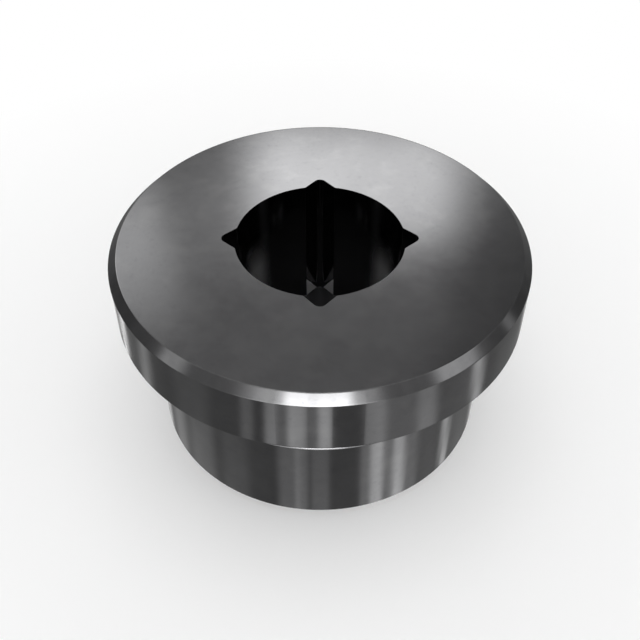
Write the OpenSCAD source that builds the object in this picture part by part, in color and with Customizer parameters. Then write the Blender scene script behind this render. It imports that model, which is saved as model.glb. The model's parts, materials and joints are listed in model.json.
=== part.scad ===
// Magnetic plug: a turned steel plug with a collar head, a drive socket with
// four corner notches in its top, and a disc magnet set into its lower end.
// The origin is the centre of the lower end, and +Z is the plug's axis, head up.

/* [Head] */
// Diameter of the head
head_d = 32; // [31:0.5:40]
// Thickness of the head
head_h = 5; // [4.5:0.5:8]
// Chamfer around the head's top edge
head_chamfer = 0.65; // [0.2:0.05:1.5]

/* [Shank] */
// Diameter of the shank
shank_d = 26.9; // [24:0.1:30]
// Length of the shank, from the head's seat to the lower end
shank_len = 13; // [12.5:0.5:20]
// Lead chamfer around the lower end
lead_chamfer = 1.6; // [0.5:0.1:2.5]
// Radial depth of the relief groove under the head
relief_depth = 1.45; // [0.5:0.05:2]
// Straight length of the relief groove, below the head's seat
relief_len = 2.15; // [2.1:0.05:4]
// Radius of the relief groove's two inner corners
relief_fillet = 0.25; // [0.1:0.05:0.6]

/* [Socket] */
// Depth of the socket, measured from the top face
socket_depth = 12; // [8:0.5:12]
// Diameter of the socket's round hole
pilot_d = 13; // [12.4:0.1:14]
// Distance between the tips of opposite notches
notch_span = 15; // [14.5:0.1:16]
// Angle between the two flanks of a notch
notch_angle = 82; // [70:1:90]
// Radius at the tip of a notch
notch_tip_r = 0.53; // [0.1:0.01:0.6]

/* [Magnet] */
// Diameter of the magnet
magnet_d = 12; // [8:0.5:14]
// Thickness of the magnet
magnet_h = 4; // [2:0.5:4]
// Chamfer around the magnet's two edges
magnet_chamfer = 0.3; // [0.1:0.05:0.6]
// Depth of the magnet's face inside the plug's lower end
magnet_recess = 0.2; // [0.1:0.05:0.5]
// Radial gap around the magnet, for its adhesive
magnet_gap = 0.05; // [0.02:0.01:0.2]

/* [Fineness] */
// Number of facets around a full circle
facets = 144; // [48:24:288]
// Number of steps along each small corner arc
arc_steps = 6; // [2:1:12]

/* [Hidden] */

// Heights above the lower end
seat_z = shank_len;
relief_z = seat_z - relief_len;
shank_top_z = relief_z - relief_depth;
top_z = seat_z + head_h;
socket_floor_z = top_z - socket_depth;
magnet_top_z = magnet_recess + magnet_h;

// Radii
head_r = head_d / 2;
shank_r = shank_d / 2;
relief_r = shank_r - relief_depth;
magnet_r = magnet_d / 2;

// A notch: its tip arc, the angle that a flank makes with the notch's centre line,
// and the point where the flanks would meet if the tip weren't round
notch_count = 4;
flank_angle = notch_angle / 2;
tip_centre_x = notch_span / 2 - notch_tip_r;
flank_apex_x = tip_centre_x + notch_tip_r / sin(flank_angle);
// The notch's cutter starts well inside the round hole
notch_root_x = 0.8 * pilot_d / 2;
notch_root_y = (flank_apex_x - notch_root_x) * tan(flank_angle);
tip_turn = 90 - flank_angle;

// The relief groove's corner arcs: one under the head's seat, and one where the
// 45 degree slope of the shank's shoulder meets the groove's straight wall
fillet_x = relief_r + relief_fillet;
upper_fillet_z = seat_z - relief_fillet;
lower_fillet_z = relief_z + relief_fillet * tan(45 / 2);

// How far a cutter runs past the face that it opens
overcut = 1;

// Points along an arc around (cx, cy), from one angle to another
function arc(cx, cy, r, from_angle, to_angle) = [
    for (step = [0 : arc_steps])
        let (a = from_angle + (to_angle - from_angle) * step / arc_steps)
        [cx + r * cos(a), cy + r * sin(a)]
];

// Half outline of the turned body, from the axis at the lower end to the axis at the top
body_profile = concat(
    [
        [0, 0],
        [shank_r - lead_chamfer, 0],
        [shank_r, lead_chamfer],
        [shank_r, shank_top_z]
    ],
    arc(fillet_x, lower_fillet_z, relief_fillet, 225, 180),
    arc(fillet_x, upper_fillet_z, relief_fillet, 180, 90),
    [
        [head_r, seat_z],
        [head_r, top_z - head_chamfer],
        [head_r - head_chamfer, top_z],
        [0, top_z]
    ]
);

// Half outline of the magnet
magnet_profile = [
    [0, magnet_recess],
    [magnet_r - magnet_chamfer, magnet_recess],
    [magnet_r, magnet_recess + magnet_chamfer],
    [magnet_r, magnet_top_z - magnet_chamfer],
    [magnet_r - magnet_chamfer, magnet_top_z],
    [0, magnet_top_z]
];

// Outline of one notch, pointing along +X
notch_outline = concat(
    [[notch_root_x, -notch_root_y]],
    arc(tip_centre_x, 0, notch_tip_r, -tip_turn, tip_turn),
    [[notch_root_x, notch_root_y]]
);

// The drive socket: a round hole with four corner notches
module socket_cutter() {
    translate([0, 0, socket_floor_z]) {
        cylinder(d = pilot_d, h = socket_depth + overcut, $fn = facets);
        for (k = [0 : notch_count - 1])
            rotate([0, 0, k * 360 / notch_count])
                linear_extrude(height = socket_depth + overcut)
                    polygon(notch_outline);
    }
}

// The blind pocket in the lower end, whose floor the magnet is seated on
module magnet_pocket() {
    translate([0, 0, -overcut])
        cylinder(r = magnet_r + magnet_gap, h = magnet_top_z + overcut, $fn = facets);
}

module plug_body() {
    color([0.36, 0.36, 0.37])
        difference() {
            rotate_extrude($fn = facets)
                polygon(body_profile);
            socket_cutter();
            magnet_pocket();
        }
}

module magnet() {
    color([0.72, 0.73, 0.75])
        rotate_extrude($fn = facets)
            polygon(magnet_profile);
}

plug_body();
magnet();
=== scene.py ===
import json
import math
import bmesh
import bpy
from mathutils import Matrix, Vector


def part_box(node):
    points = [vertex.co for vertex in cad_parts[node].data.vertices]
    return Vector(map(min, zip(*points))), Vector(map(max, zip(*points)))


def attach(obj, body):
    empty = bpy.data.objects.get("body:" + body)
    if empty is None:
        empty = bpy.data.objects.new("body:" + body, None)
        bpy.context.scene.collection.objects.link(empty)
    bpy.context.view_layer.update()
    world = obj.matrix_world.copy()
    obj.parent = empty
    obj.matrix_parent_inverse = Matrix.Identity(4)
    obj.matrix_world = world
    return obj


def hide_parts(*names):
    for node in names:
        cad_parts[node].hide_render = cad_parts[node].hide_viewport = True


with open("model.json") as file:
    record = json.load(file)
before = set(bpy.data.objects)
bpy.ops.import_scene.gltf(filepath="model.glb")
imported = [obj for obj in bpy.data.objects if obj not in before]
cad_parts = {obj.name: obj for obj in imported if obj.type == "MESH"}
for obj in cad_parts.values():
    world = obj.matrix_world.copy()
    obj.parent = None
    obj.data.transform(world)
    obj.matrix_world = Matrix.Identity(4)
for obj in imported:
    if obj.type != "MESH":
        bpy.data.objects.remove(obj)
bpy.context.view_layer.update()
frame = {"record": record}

# Lengths are in metres, and MM turns a length in millimetres into one
MM = 0.001

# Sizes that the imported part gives
mounts = {mount["name"]: mount for mount in frame["record"]["mounts"]}
shank_mount = mounts["shank"]
socket_mount = mounts["drive_socket"]
body_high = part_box("plug_body")[1]
magnet_low, magnet_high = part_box("magnet")
HEAD_R = body_high.x
TOP_Z = body_high.z
SEAT_Z = mounts["head_seat"]["pos_m"][2]
SHANK_R = shank_mount["dims"]["r_mm"] * MM
SHANK_HALF = shank_mount["dims"]["length_mm"] * MM / 2
LEAD_CHAMFER = shank_mount["pos_m"][2] - SHANK_HALF
SHANK_TOP_Z = shank_mount["pos_m"][2] + SHANK_HALF
PILOT_R = socket_mount["dims"]["r_mm"] * MM
SOCKET_FLOOR_Z = TOP_Z - socket_mount["dims"]["length_mm"] * MM
MAGNET_R = magnet_high.x
MAGNET_LOW_Z = magnet_low.z
MAGNET_TOP_Z = magnet_high.z

# Sizes of the turned body and the magnet that no mount states
HEAD_CHAMFER = 0.65 * MM
RELIEF_DEPTH = 1.45 * MM
RELIEF_FILLET = 0.25 * MM
RELIEF_R = SHANK_R - RELIEF_DEPTH
RELIEF_Z = SHANK_TOP_Z + RELIEF_DEPTH
MAGNET_GAP = 0.05 * MM
POCKET_R = MAGNET_R + MAGNET_GAP
MAGNET_CHAMFER = 0.3 * MM

# The socket's notches: half their span, half the angle between their flanks, and their tips
NOTCH_COUNT = 4
NOTCH_REACH = 7.5 * MM
FLANK_ANGLE = math.radians(41)
NOTCH_TIP_R = 0.53 * MM
TIP_X = NOTCH_REACH - NOTCH_TIP_R

# Small roundings that edges have after machining and tumbling
EDGE_ROUND = 0.01 * MM
MAGNET_ROUND = 0.05 * MM
CORNER_ROUND = 0.1 * MM
LEAST_ROUND = 0.01 * MM
FLOOR_FILLET = 0.06 * MM
POCKET_FILLET = 0.1 * MM
# How far the brighter, handled metal reaches from an edge
WEAR_WIDTH = 0.08 * MM
# Edges between faces that turn by more than this stay sharp
SHARP_TURN = math.radians(50)

# Plain rings that divide the top face and the socket's floor
TOP_RING_R = 0.75 * HEAD_R
FLOOR_RING_R = PILOT_R / 2

# Steps along the arcs and straight stretches, and around the magnet
ROUND_STEPS = 4
TIP_STEPS = 6
FLANK_STEPS = 4
CORNER_STEPS = 3
PILOT_STEPS = 24
MAGNET_STEPS = 192


def arc(centre, radius, start, end, steps):
    """Points along an arc in a plane, with both of its ends."""
    turns = [start + (end - start) * k / steps for k in range(steps + 1)]
    return [(centre[0] + radius * math.cos(t), centre[1] + radius * math.sin(t)) for t in turns]


def between(start, end, steps):
    """Points that divide the line from start to end, without its ends."""
    shares = [k / steps for k in range(1, steps)]
    return [tuple(a + (b - a) * s for a, b in zip(start, end)) for s in shares]


def notch_corner(inset):
    """Centre of the small round between a notch's flank and the round hole, and its direction.

    It lies inset from both of them, in the metal."""
    normal = Vector((math.sin(FLANK_ANGLE), math.cos(FLANK_ANGLE)))
    along = Vector((-math.cos(FLANK_ANGLE), math.sin(FLANK_ANGLE)))
    start = Vector((TIP_X, 0)) + normal * (NOTCH_TIP_R + inset)
    reach = PILOT_R + inset
    half_b = start.dot(along)
    walk = -half_b - math.sqrt(half_b ** 2 - start.length_squared + reach ** 2)
    centre = start + along * walk
    return centre, math.atan2(centre.y, centre.x)


def socket_outline(grow):
    """The socket's outline, anticlockwise from the +X notch's tip, moved outward by grow."""
    inset = max(CORNER_ROUND, grow + LEAST_ROUND)
    corner, corner_turn = notch_corner(inset)
    flank_turn = math.pi / 2 - FLANK_ANGLE
    tip = arc((TIP_X, 0), NOTCH_TIP_R + grow, 0, flank_turn, TIP_STEPS)
    back_turn = flank_turn - math.pi
    round_off = arc(corner, inset - grow, back_turn, corner_turn - math.pi, CORNER_STEPS)
    pilot = arc((0, 0), PILOT_R + grow, corner_turn, math.pi / 4, PILOT_STEPS)
    eighth = tip + between(tip[-1], round_off[0], FLANK_STEPS) + round_off + pilot[1:]
    quarter = eighth + [(y, x) for x, y in reversed(eighth[1:-1])]
    outline = []
    for k in range(NOTCH_COUNT):
        turn = 2 * math.pi * k / NOTCH_COUNT
        c, s = math.cos(turn), math.sin(turn)
        outline += [(x * c - y * s, x * s + y * c) for x, y in quarter]
    return outline


# Every ring of the body has its points at the same turns as the socket's outline
BODY_TURNS = [math.atan2(y, x) for x, y in socket_outline(0)]
MAGNET_TURNS = [2 * math.pi * k / MAGNET_STEPS for k in range(MAGNET_STEPS)]


def circle(radius, turns):
    return [(radius * math.cos(t), radius * math.sin(t)) for t in turns]


def rounded_profile(corners, worn=True):
    """Profile points (r, z, wear): each corner (r, z, radius) but the ends becomes a small arc."""
    points = [(corners[0][0], corners[0][1], 0.0)]
    for before, here, after in zip(corners, corners[1:], corners[2:]):
        place = Vector(here[:2])
        back = (Vector(before[:2]) - place).normalized()
        ahead = (Vector(after[:2]) - place).normalized()
        half_angle = back.angle(ahead) / 2
        radius = here[2]
        reach = radius / math.tan(half_angle)
        centre = place + (back + ahead).normalized() * radius / math.sin(half_angle)
        from_centre = place + back * reach - centre
        swing = from_centre.angle_signed(place + ahead * reach - centre)
        start = math.atan2(from_centre.y, from_centre.x)
        # An outside corner turns anticlockwise, and only such a corner is handled and worn
        wear = 1.0 if worn and swing < 0 else 0.0
        if wear:
            points.append((*(place + back * (reach + WEAR_WIDTH)), 0.0))
        rounding = arc(centre, radius, start, start - swing, ROUND_STEPS)
        points += [(r, z, wear) for r, z in rounding]
        if wear:
            points.append((*(place + ahead * (reach + WEAR_WIDTH)), 0.0))
    points.append((corners[-1][0], corners[-1][1], 0.0))
    return points


def lathe_rings(profile, turns):
    """One ring (points, z, wear) for each point of a profile. A radius of 0 gives one point."""
    return [(circle(r, turns) if r else [(0.0, 0.0)], z, wear) for r, z, wear in profile]


def skin(name, rings):
    """A closed mesh object from rings. The first and last rings are single points."""
    bm = bmesh.new()
    wear_layer = bm.verts.layers.float.new("wear")
    rows = []
    for points, z, wear in rings:
        row = [bm.verts.new((x, y, z)) for x, y in points]
        for vert in row:
            vert[wear_layer] = wear
        rows.append(row)
    for low, high in zip(rows, rows[1:]):
        count = max(len(low), len(high))
        for k in range(count):
            near, far = k, (k + 1) % count
            if len(low) == 1:
                bm.faces.new((low[0], high[far], high[near]))
            elif len(high) == 1:
                bm.faces.new((low[near], low[far], high[0]))
            else:
                bm.faces.new((low[near], low[far], high[far], high[near]))
    bmesh.ops.recalc_face_normals(bm, faces=bm.faces[:])
    for edge in bm.edges:
        edge.smooth = edge.calc_face_angle() < SHARP_TURN
    mesh = bpy.data.meshes.new(name)
    bm.to_mesh(mesh)
    bm.free()
    mesh.shade_smooth()
    piece = bpy.data.objects.new(name, mesh)
    bpy.context.collection.objects.link(piece)
    # Large faces keep their own normals, so that flats look flat beside the small rounds
    piece.modifiers.new("flat_faces", "WEIGHTED_NORMAL").keep_sharp = True
    return piece


def body_rings():
    corners = [
        (0, MAGNET_TOP_Z, 0),
        (POCKET_R, MAGNET_TOP_Z, POCKET_FILLET),
        (POCKET_R, 0, EDGE_ROUND),
        (SHANK_R - LEAD_CHAMFER, 0, EDGE_ROUND),
        (SHANK_R, LEAD_CHAMFER, EDGE_ROUND),
        (SHANK_R, SHANK_TOP_Z, EDGE_ROUND),
        (RELIEF_R, RELIEF_Z, RELIEF_FILLET),
        (RELIEF_R, SEAT_Z, RELIEF_FILLET),
        (HEAD_R, SEAT_Z, EDGE_ROUND),
        (HEAD_R, TOP_Z - HEAD_CHAMFER, EDGE_ROUND),
        (HEAD_R - HEAD_CHAMFER, TOP_Z, EDGE_ROUND),
        (TOP_RING_R, TOP_Z, 0),
    ]
    rings = lathe_rings(rounded_profile(corners), BODY_TURNS)
    # The broach leaves the socket's mouth sharp
    rings.append((socket_outline(WEAR_WIDTH), TOP_Z, 0.0))
    rings.append((socket_outline(0), TOP_Z, 0.0))
    fillet_centre = (FLOOR_FILLET, FLOOR_FILLET)
    for inset, rise in arc(fillet_centre, FLOOR_FILLET, math.pi, 1.5 * math.pi, ROUND_STEPS):
        rings.append((socket_outline(-inset), SOCKET_FLOOR_Z + rise, 0.0))
    rings.append((circle(FLOOR_RING_R, BODY_TURNS), SOCKET_FLOOR_Z, 0.0))
    rings.append(([(0.0, 0.0)], SOCKET_FLOOR_Z, 0.0))
    return rings


def magnet_rings():
    corners = [
        (0, MAGNET_LOW_Z, 0),
        (MAGNET_R - MAGNET_CHAMFER, MAGNET_LOW_Z, MAGNET_ROUND),
        (MAGNET_R, MAGNET_LOW_Z + MAGNET_CHAMFER, MAGNET_ROUND),
        (MAGNET_R, MAGNET_TOP_Z - MAGNET_CHAMFER, MAGNET_ROUND),
        (MAGNET_R - MAGNET_CHAMFER, MAGNET_TOP_Z, MAGNET_ROUND),
        (0, MAGNET_TOP_Z, 0),
    ]
    return lathe_rings(rounded_profile(corners, worn=False), MAGNET_TURNS)


# Colours of the steel, of its darkest and lightest clouds and the marks on it
STEEL_DARK = (0.143, 0.143, 0.146)
STEEL_LIGHT = (0.158, 0.158, 0.161)
STEEL_SPECK = (0.12, 0.12, 0.125)
STEEL_BLOOM = (0.163, 0.163, 0.165)
STEEL_RUBBED = (0.22, 0.22, 0.22)
# Finishes in the socket: their colour, and how much rougher than plain steel they are. Their
# colours
# paint light and shade: the drilled floor is darkened as painted shade, the notches get painted
# light patches, and the hole's wall gets painted reflection streaks.
DRILLED_AND_SHADED = ((0.055, 0.055, 0.057), 0.32)
PAINTED_LIGHT_PATCH = ((0.8, 0.8, 0.805), 0.65)
PAINTED_REFLECTION_STREAK = ((0.7, 0.7, 0.705), 0.4)
# Colours of the magnet's plating, clean and dull
PLATE_CLEAN = (0.72, 0.73, 0.75)
PLATE_DULL = (0.62, 0.625, 0.63)

# How many waves of each noise there are in a metre
CLOUD_SCALE = 700.0
BLOOM_SCALE = 520.0
SPECK_SCALE = 2600.0
PLATE_GRAIN_SCALE = 5200.0
PLATE_SPOT_SCALE = 600.0
CLOTH_SCALE = 36.0

# The lathe's marks: their pitch, their depth, and how much a step in height counts beside one in
# radius. A slope other than 1 keeps the rings on the 45 degree chamfers too.
TURNING_PITCH = 0.16 * MM
TURNING_DEPTH = 0.004 * MM
TURNING_SLOPE = 1.7
# Nearer to the axis than this, a direction around it isn't worked out
AXIS_R = 0.1 * MM
# Depth of the plating's grain
PLATE_GRAIN_DEPTH = 0.006 * MM

# Height of the painted light patches at a notch's edges, which stand for light caught low in the
# notches, and how much less it is for each unit outward
LIT_PATCH_HEIGHT = 2.0 * MM
LIT_PATCH_SLOPE = 2.1
# The painted reflection streaks on the socket's hole wall: their turn from the back on both sides,
# the cosines of the turns away from their middle at which they fade in and are full, and the
# heights between which they fade out
STREAK_ANGLE = math.radians(55)
STREAK_FACING = (0.965, 0.998)
STREAK_Z = (11.5 * MM, 14.8 * MM)


class Nodes:
    """Adds nodes to a material's tree."""

    def __init__(self, name):
        self.material = bpy.data.materials.new(name)
        self.material.use_nodes = True
        self.tree = self.material.node_tree
        self.tree.nodes.clear()

    def add(self, kind, inputs=(), **settings):
        node = self.tree.nodes.new("ShaderNode" + kind)
        for key, value in settings.items():
            setattr(node, key, value)
        for key, value in dict(inputs).items():
            if isinstance(value, bpy.types.NodeSocket):
                self.tree.links.new(value, node.inputs[key])
            else:
                node.inputs[key].default_value = value
        return node

    def math(self, operation, a, b=0.0):
        return self.add("Math", {0: a, 1: b}, operation=operation).outputs[0]

    def product(self, first, *others):
        for other in others:
            first = self.math("MULTIPLY", first, other)
        return first

    def span(self, value, low, high, to_low, to_high):
        """Maps a value from one range onto another, and keeps it inside."""
        inputs = {
            "Value": value, "From Min": low, "From Max": high, "To Min": to_low, "To Max": to_high,
        }
        return self.add("MapRange", inputs).outputs["Result"]

    def noise(self, vector, scale, detail=2.0, roughness=0.5):
        inputs = {"Vector": vector, "Scale": scale, "Detail": detail, "Roughness": roughness}
        return self.add("TexNoise", inputs).outputs["Fac"]

    def blend(self, factor, dark, light):
        node = self.add("Mix", data_type="RGBA")
        self.tree.links.new(factor, node.inputs[0])
        for socket, value in ((node.inputs[6], dark), (node.inputs[7], light)):
            if isinstance(value, bpy.types.NodeSocket):
                self.tree.links.new(value, socket)
            else:
                socket.default_value = (*value, 1.0)
        return node.outputs[2]

    def cover(self, finish, share, mark):
        """A finish (colour, roughness) and over a share of it a mark (colour, how much rougher)."""
        colour, roughness = finish
        mark_colour, rougher = mark
        extra = self.product(share, rougher)
        return self.blend(share, colour, mark_colour), self.math("ADD", roughness, extra)

    def metal(self, colour, roughness, bump):
        inputs = {"Base Color": colour, "Metallic": 1.0, "Roughness": roughness}
        inputs["Normal"] = bump.outputs[0]
        return self.finish(self.add("BsdfPrincipled", inputs))

    def finish(self, shader):
        self.add("OutputMaterial", {"Surface": shader.outputs[0]})
        return self.material


def turning_marks(nodes):
    """Fine rings that a lathe tool leaves around +Z. They change across the rings, hardly along.

    Gives the place, its radius and height, and the marks."""
    place = nodes.add("TexCoord").outputs["Object"]
    x, y, height = nodes.add("SeparateXYZ", {0: place}).outputs
    squares = nodes.math("ADD", nodes.product(x, x), nodes.product(y, y))
    radius = nodes.math("SQRT", squares)
    across = nodes.math("ADD", radius, nodes.product(height, TURNING_SLOPE))
    ring = nodes.math("DIVIDE", across, TURNING_PITCH)
    safe_radius = nodes.math("MAXIMUM", radius, AXIS_R)
    cosine = nodes.math("DIVIDE", x, safe_radius)
    sine = nodes.math("DIVIDE", y, safe_radius)
    around = nodes.add("CombineXYZ", {0: ring, 1: cosine, 2: sine}).outputs[0]
    return place, radius, height, nodes.noise(around, 1.0, 3.0, 0.6)


def plain_steel(nodes, place, marks):
    """Colour and roughness of the turned steel, with cloudy patches, specks and rubbed edges."""
    clouds = nodes.noise(place, CLOUD_SCALE, 5.0, 0.6)
    blooms = nodes.noise(place, BLOOM_SCALE, 3.0, 0.55)
    specks = nodes.noise(place, SPECK_SCALE, 3.0, 0.6)
    wear = nodes.add("Attribute", attribute_name="wear").outputs["Fac"]
    rubbed = nodes.product(wear, nodes.span(clouds, 0.35, 0.62, 0.1, 0.5))
    colour = nodes.blend(nodes.span(clouds, 0.3, 0.7, 0.0, 1.0), STEEL_DARK, STEEL_LIGHT)
    colour = nodes.blend(nodes.span(specks, 0.56, 0.75, 0.0, 0.5), colour, STEEL_SPECK)
    colour = nodes.blend(nodes.span(blooms, 0.52, 0.7, 0.0, 1.0), colour, STEEL_BLOOM)
    colour = nodes.blend(rubbed, colour, STEEL_RUBBED)
    cloud_roughness = nodes.span(clouds, 0.3, 0.72, 0.12, 0.15)
    ring_roughness = nodes.span(marks, 0.35, 0.65, -0.003, 0.005)
    return colour, nodes.math("ADD", cloud_roughness, ring_roughness)


def socket_zones(nodes, radius, height):
    """1 inside and 0 outside each zone of the socket: its floor, its hole's wall, its notches."""
    within = nodes.math("LESS_THAN", radius, NOTCH_REACH + FLOOR_FILLET)
    above = nodes.math("GREATER_THAN", height, SOCKET_FLOOR_Z - FLOOR_FILLET)
    low = nodes.math("LESS_THAN", height, SOCKET_FLOOR_Z + FLOOR_FILLET)
    floor = nodes.product(within, above, low)
    wall = nodes.product(within, nodes.math("SUBTRACT", 1.0, low))
    in_notch = nodes.math("GREATER_THAN", radius, PILOT_R + LEAST_ROUND)
    hole = nodes.product(wall, nodes.math("SUBTRACT", 1.0, in_notch))
    return floor, hole, nodes.product(wall, in_notch)


def lit_patch_mask(nodes, radius, height):
    """Where the painted light patches go: low in the notches, and lower towards their tips."""
    drop = nodes.product(nodes.math("SUBTRACT", radius, PILOT_R), LIT_PATCH_SLOPE)
    return nodes.math("LESS_THAN", nodes.math("ADD", height, drop), SOCKET_FLOOR_Z + LIT_PATCH_HEIGHT)


def painted_streak_mask(nodes, place, height):
    """Where the painted reflection streaks lie on the hole's wall: at two places, and most near the
    floor.
    """
    split = nodes.add("SeparateXYZ", {0: place}).outputs
    sideways = nodes.product(nodes.math("ABSOLUTE", split["X"]), math.sin(STREAK_ANGLE))
    backward = nodes.product(split["Y"], math.cos(STREAK_ANGLE))
    facing = nodes.math("DIVIDE", nodes.math("ADD", sideways, backward), PILOT_R)
    around = nodes.span(facing, *STREAK_FACING, 0.0, 1.0)
    return nodes.product(around, nodes.span(height, *STREAK_Z, 1.0, 0.0))


def steel_material():
    """Dark turned steel, lightly oiled, with a rougher drilled socket floor darkened as painted
    shade, and painted light in the socket: bright patches low in the notches and reflection streaks
    on the hole's wall.
    """
    nodes = Nodes("dark_steel")
    place, radius, height, marks = turning_marks(nodes)
    floor, hole, notches = socket_zones(nodes, radius, height)
    finish = plain_steel(nodes, place, marks)
    # Painted shade: the socket's floor is much darker than the steel, as well as rougher from the
    # drill
    finish = nodes.cover(finish, floor, DRILLED_AND_SHADED)
    # Painted light: bright, rougher patches low in the notches stand for the light caught there
    finish = nodes.cover(finish, nodes.product(notches, lit_patch_mask(nodes, radius, height)), PAINTED_LIGHT_PATCH)
    # Painted reflection: two light streaks low on the hole's wall, not real marks
    finish = nodes.cover(finish, nodes.product(hole, painted_streak_mask(nodes, place, height)), PAINTED_REFLECTION_STREAK)
    bump = nodes.add("Bump", {"Strength": 0.06, "Distance": TURNING_DEPTH, "Height": marks})
    return nodes.metal(*finish, bump)


def plating_material():
    """Satin nickel plate over the magnet, with a fine grain and a few dull spots."""
    nodes = Nodes("magnet_plating")
    place = nodes.add("TexCoord").outputs["Object"]
    grain = nodes.noise(place, PLATE_GRAIN_SCALE, 4.0, 0.65)
    spots = nodes.noise(place, PLATE_SPOT_SCALE, 4.0, 0.6)
    plate = nodes.blend(nodes.span(spots, 0.35, 0.7, 0.0, 1.0), PLATE_CLEAN, PLATE_DULL)
    spot_roughness = nodes.span(spots, 0.3, 0.7, 0.24, 0.36)
    roughness = nodes.math("ADD", spot_roughness, nodes.span(grain, 0.3, 0.7, -0.03, 0.03))
    bump = nodes.add("Bump", {"Strength": 0.15, "Distance": PLATE_GRAIN_DEPTH, "Height": grain})
    return nodes.metal(plate, roughness, bump)


def make_plug():
    body = skin("turned_body", body_rings())
    body.data.materials.append(steel_material())
    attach(body, "root")
    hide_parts("plug_body")
    magnet = skin("disc_magnet", magnet_rings())
    magnet.data.materials.append(plating_material())
    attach(magnet, "root")
    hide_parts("magnet")


# The camera: its distance from the plug's axis, its height, its lens, and the height on the
# axis that it looks at. The lens and the sensor's width are in millimetres.
CAMERA_REACH = 51.03 * MM
CAMERA_Z = 60.09 * MM
CAMERA_LENS = 48.77
SENSOR_WIDTH = 36.0
TARGET_Z = 9.2 * MM

# The studio. Azimuth is 0 on the camera's side and 90 on its right, and all angles are in degrees.
DOME_R = 0.4
# The dome's rings by elevation. The first is below the floor, and the last is almost a point.
DOME_RINGS = [-1, 0] + [1.5 * k for k in range(1, 60)] + [89.9]
DOME_AZIMUTHS = range(0, 360, 2)
# Light of the plain dome by elevation
DOME_LEVELS = [(0, 0.17), (12, 0.18), (30, 0.36), (40, 0.43), (90, 0.42)]
# Soft boxes: azimuth from and to, its border, elevation from and to, its border, and level
SOFT_BOXES = [
    (-17.5, 15.5, 4, 35.6, 41.4, 1.5, 7.2),
    (-35, 27, 18, 28, 41, 5, 1.5),
    (165.9, 186.2, 5, 33.4, 41.0, 4, 1.8),
    (169.1, 186.2, 5, 33.4, 41.0, 4, 1.8),
    (186, 192.7, 5, 34, 42, 8, 0.5),
    (195.3, 212, 5, 36.3, 44.2, 9, 2.0),
    (-80, -67, 5, 20, 32, 5, 0.8),
    (58, 81, 6, 23, 36, 5, 1.2),
    (97, 102, 3, 8, 18, 4, 0.5),
    (150, 167, 5, 38, 60, 6, -0.2),
    (-181, 181, 1, 68, 92, 14, 2.3),
]

# Grey strips on the floor, which only reflections see. Each is placed by the angle around the
# plug's wall at which the camera sees it mirrored: angle, half width and level. The head's wall
# mirrors the outer strips, and the shank mirrors the inner ones.
FAN_ANGLES = [k / 2 for k in range(-360, 360)]
FAN_START = SHANK_R - 1.2 * MM
FAN_END = 0.97 * DOME_R
FAN_MARGIN = 0.3 * MM
FAN_BASE = 0.2
# The strips aren't quite radial: they lie further around by this share where a wall's foot
# mirrors them, and less far where its top does
SPREAD = 0.024
HEAD_STRIPS = [
    (-71, 2.5, 1.2), (-61.5, 1, 1.8), (-49.5, 2, 0.45), (-33, 5, 0.1), (-17.5, 1.5, 0.3),
    (-11.5, 1.5, 0.8), (-8.5, 2, 0.3), (-5.5, 2, 1.2), (-1.5, 1.5, 0.35), (1.2, 1.5, 1.25),
    (13, 2.5, 0.7), (19.5, 5, 0.3), (26.5, 2.5, 0.55), (35, 6, 0.1), (42.3, 1.5, 1.05),
    (70.5, 3, 0.65),
]
SHANK_STRIPS = [
    (-68, 2, 0.7), (-56, 4, 0.25), (-43.5, 6, 0.2), (-29, 5, 0.1), (-10, 3.5, 0.3),
    (-6, 2, 0.35), (0, 3, 0.25), (15, 2, 0.35), (18.5, 2, 0.95), (23, 5, 0.4),
    (26.5, 2, 0.9), (31, 2.5, 0.25), (36, 6, 0.1), (46.6, 1.5, 0.95), (54, 5, 0.05),
    (71.5, 4, 0.5),
]
# Strips that only views from the other side see
REAR_STRIPS = [
    (180, 9, 0.7), (-180, 9, 0.7), (135, 7, 0.6), (155, 5, 0.3), (-135, 6, 0.4), (-158, 6, 0.5),
]

# The floor: how far it reaches, how far it lies under the plug, its colour, the distances over
# which it turns white, and how white it is where that starts
FLOOR_REACH = 1.1 * DOME_R
FLOOR_DROP = 0.02 * MM
FLOOR_COLOUR = (0.93, 0.93, 0.93, 1.0)
FLOOR_FADE = (18 * MM, 62 * MM)
FLOOR_LEAST_WHITE = 0.35


def smooth(x):
    x = min(max(x, 0.0), 1.0)
    return x * x * (3 - 2 * x)


def inside(value, low, high, border):
    """1 inside a range and 0 outside it, with soft borders."""
    return smooth((value - low) / border + 0.5) * smooth((high - value) / border + 0.5)


def plain_light(elevation):
    for (low, level_low), (high, level_high) in zip(DOME_LEVELS, DOME_LEVELS[1:]):
        if elevation <= high:
            break
    return level_low + (level_high - level_low) * (elevation - low) / (high - low)


def dome_light(azimuth, elevation):
    light = plain_light(elevation)
    for az_from, az_to, az_border, el_from, el_to, el_border, level in SOFT_BOXES:
        middle = (az_from + az_to) / 2
        turned = (azimuth - middle + 180) % 360 - 180 + middle
        across = inside(turned, az_from, az_to, az_border)
        light += level * (across * inside(elevation, el_from, el_to, el_border))
    return light


def strip_light(angle, strips):
    """Light of the strips at an angle. A strip has half of its level at its half width."""
    light = FAN_BASE
    for middle, half_width, level in strips:
        light += level * smooth(1.5 - abs(angle - middle) / half_width)
    return light


def direction(azimuth, elevation):
    a, e = math.radians(azimuth), math.radians(elevation)
    return Vector((math.sin(a) * math.cos(e), -math.cos(a) * math.cos(e), math.sin(e)))


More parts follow.
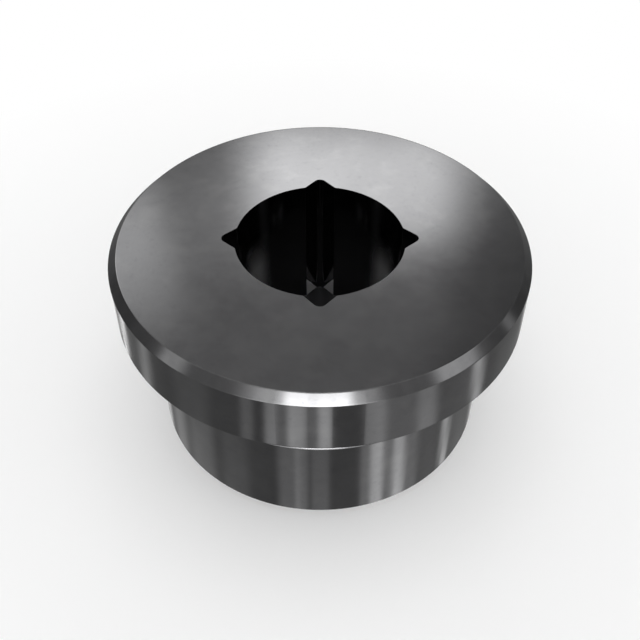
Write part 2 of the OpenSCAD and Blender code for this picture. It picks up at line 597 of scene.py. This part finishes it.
def glow_material(name):
    """Light of the mesh's own level, a little uneven, as cloth in front of lamps is."""
    nodes = Nodes(name)
    level = nodes.add("Attribute", attribute_name="level").outputs["Fac"]
    place = nodes.add("TexCoord").outputs["Object"]
    weave = nodes.noise(place, CLOTH_SCALE, 3.0, 0.6)
    strength = nodes.product(level, nodes.span(weave, 0.38, 0.64, 0.86, 1.24))
    return nodes.finish(nodes.add("Emission", {"Strength": strength}))


def glowing_grid(name, rows):
    """A stage surface from rows of (place, level), closed around, that the camera doesn't see."""
    bm = bmesh.new()
    level_layer = bm.verts.layers.float.new("level")
    grid = []
    for row in rows:
        verts = [bm.verts.new(place) for place, level in row]
        for vert, (place, level) in zip(verts, row):
            vert[level_layer] = level
        grid.append(verts)
    for low, high in zip(grid, grid[1:]):
        for k in range(len(low)):
            far = (k + 1) % len(low)
            bm.faces.new((low[k], low[far], high[far], high[k]))
    mesh = bpy.data.meshes.new(name)
    bm.to_mesh(mesh)
    bm.free()
    mesh.materials.append(glow_material(name))
    grid_object = bpy.data.objects.new(name, mesh)
    bpy.context.collection.objects.link(grid_object)
    grid_object.visible_camera = False
    return grid_object


def make_dome():
    rows = []
    for elevation in DOME_RINGS:
        lit = max(elevation, 0)
        rows.append([(direction(a, elevation) * DOME_R, dome_light(a, lit)) for a in DOME_AZIMUTHS])
    glowing_grid("light_dome", rows)


def mirrored_azimuth(angle, radius):
    """The azimuth that the camera sees mirrored at an angle around the plug's wall."""
    last = math.degrees(math.acos(radius / CAMERA_REACH))
    seen = math.radians(min(max(angle, -last), last))
    swing = math.atan2(radius * math.sin(seen), CAMERA_REACH - radius * math.cos(seen))
    azimuth = math.degrees(2 * seen + swing)
    # What the camera can't see shares the sector that is left behind the plug
    rest = abs(angle) - last
    if rest > 0:
        azimuth += math.copysign((180 - abs(azimuth)) * rest / (180 - last), angle)
    return azimuth


def strip_levels(strips, spread=0.0):
    """The levels around a row, with strips that lie further around by a share."""
    return [strip_light(angle / (1 + spread), strips + REAR_STRIPS) for angle in FAN_ANGLES]


def mirrored_row(radius, height, strips, spread):
    """Places and levels on the floor that the camera sees mirrored at one height of a wall."""
    places = []
    for angle in FAN_ANGLES:
        wall = direction(angle, 0) * radius
        to_camera = Vector((0, -CAMERA_REACH, 0)) - wall
        walk = to_camera.length * height / (CAMERA_Z - height)
        places.append(wall + direction(mirrored_azimuth(angle, radius), 0) * walk)
    return list(zip(places, strip_levels(strips, spread)))


def row_at(distance, row, strips):
    """The directions of another row's places, at one distance from the axis."""
    places = [place.normalized() * distance for place, level in row]
    return list(zip(places, strip_levels(strips)))


def calm_row_between(inner, outer):
    """The places midway between two rows, with only the rear strips."""
    places = [(a[0] + b[0]) / 2 for a, b in zip(inner, outer)]
    return list(zip(places, strip_levels([])))


def make_fan():
    foot = mirrored_row(SHANK_R, FAN_MARGIN, SHANK_STRIPS, SPREAD)
    shank_top = mirrored_row(SHANK_R, SHANK_TOP_Z + FAN_MARGIN, SHANK_STRIPS, -SPREAD)
    head_seat = mirrored_row(HEAD_R, SEAT_Z - FAN_MARGIN, HEAD_STRIPS, SPREAD)
    head_top = mirrored_row(HEAD_R, TOP_Z, HEAD_STRIPS, -SPREAD)
    # The floor is calm where the camera sees no wall mirror it
    calm_start = max(place.length for place, level in head_top) + FAN_MARGIN
    rows = [
        row_at(FAN_START, foot, SHANK_STRIPS), foot, shank_top,
        calm_row_between(shank_top, head_seat), head_seat, head_top,
        row_at(calm_start, head_top, []), row_at(FAN_END, head_top, []),
    ]
    fan = glowing_grid("floor_strips", rows)
    fan.visible_diffuse = False
    fan.visible_shadow = False
    fan.visible_transmission = False
    fan.data.materials[0].cycles.emission_sampling = "NONE"


def floor_material():
    """Pale, and white to the camera and to reflections away from the plug, with no horizon."""
    nodes = Nodes("pale_floor")
    near = nodes.add("BsdfDiffuse", {"Color": FLOOR_COLOUR, "Roughness": 0.5})
    far = nodes.add("Emission", {"Color": (1.0, 1.0, 1.0, 1.0), "Strength": 1.0})
    place = nodes.add("TexCoord").outputs["Object"]
    distance = nodes.add("VectorMath", {0: place}, operation="LENGTH").outputs["Value"]
    rays = nodes.add("LightPath").outputs
    seen = nodes.math("MAXIMUM", rays["Is Camera Ray"], rays["Is Glossy Ray"])
    seen = nodes.math("MAXIMUM", seen, rays["Is Transmission Ray"])
    share = nodes.product(seen, nodes.span(distance, *FLOOR_FADE, FLOOR_LEAST_WHITE, 1.0))
    return nodes.finish(nodes.add("MixShader", {0: share, 1: near.outputs[0], 2: far.outputs[0]}))


def make_floor():
    mesh = bpy.data.meshes.new("floor")
    corners = [(-1, -1), (1, -1), (1, 1), (-1, 1)]
    places = [(x * FLOOR_REACH, y * FLOOR_REACH, -FLOOR_DROP) for x, y in corners]
    mesh.from_pydata(places, [], [(0, 1, 2, 3)])
    mesh.materials.append(floor_material())
    floor = bpy.data.objects.new("floor", mesh)
    bpy.context.collection.objects.link(floor)


def make_world():
    """A white surrounding, which only the camera sees, because the dome hides it from the rest."""
    world = bpy.data.worlds.new("white_surrounding")
    world.use_nodes = True
    world.node_tree.nodes["Background"].inputs["Color"].default_value = (1, 1, 1, 1)
    world.cycles.sampling_method = "NONE"
    bpy.context.scene.world = world
    bpy.context.scene.view_settings.view_transform = "Standard"


def make_camera():
    camera_data = bpy.data.cameras.new("camera")
    camera_data.sensor_width = SENSOR_WIDTH
    camera_data.lens = CAMERA_LENS
    camera_data.clip_start = 1 * MM
    camera_data.clip_end = 10.0
    camera = bpy.data.objects.new("camera", camera_data)
    bpy.context.collection.objects.link(camera)
    camera.location = (0, -CAMERA_REACH, CAMERA_Z)
    camera.rotation_mode = "QUATERNION"
    to_target = Vector((0, 0, TARGET_Z)) - camera.location
    camera.rotation_quaternion = to_target.to_track_quat("-Z", "Y")
    bpy.context.scene.camera = camera


make_plug()
make_dome()
make_fan()
make_floor()
make_world()
make_camera()
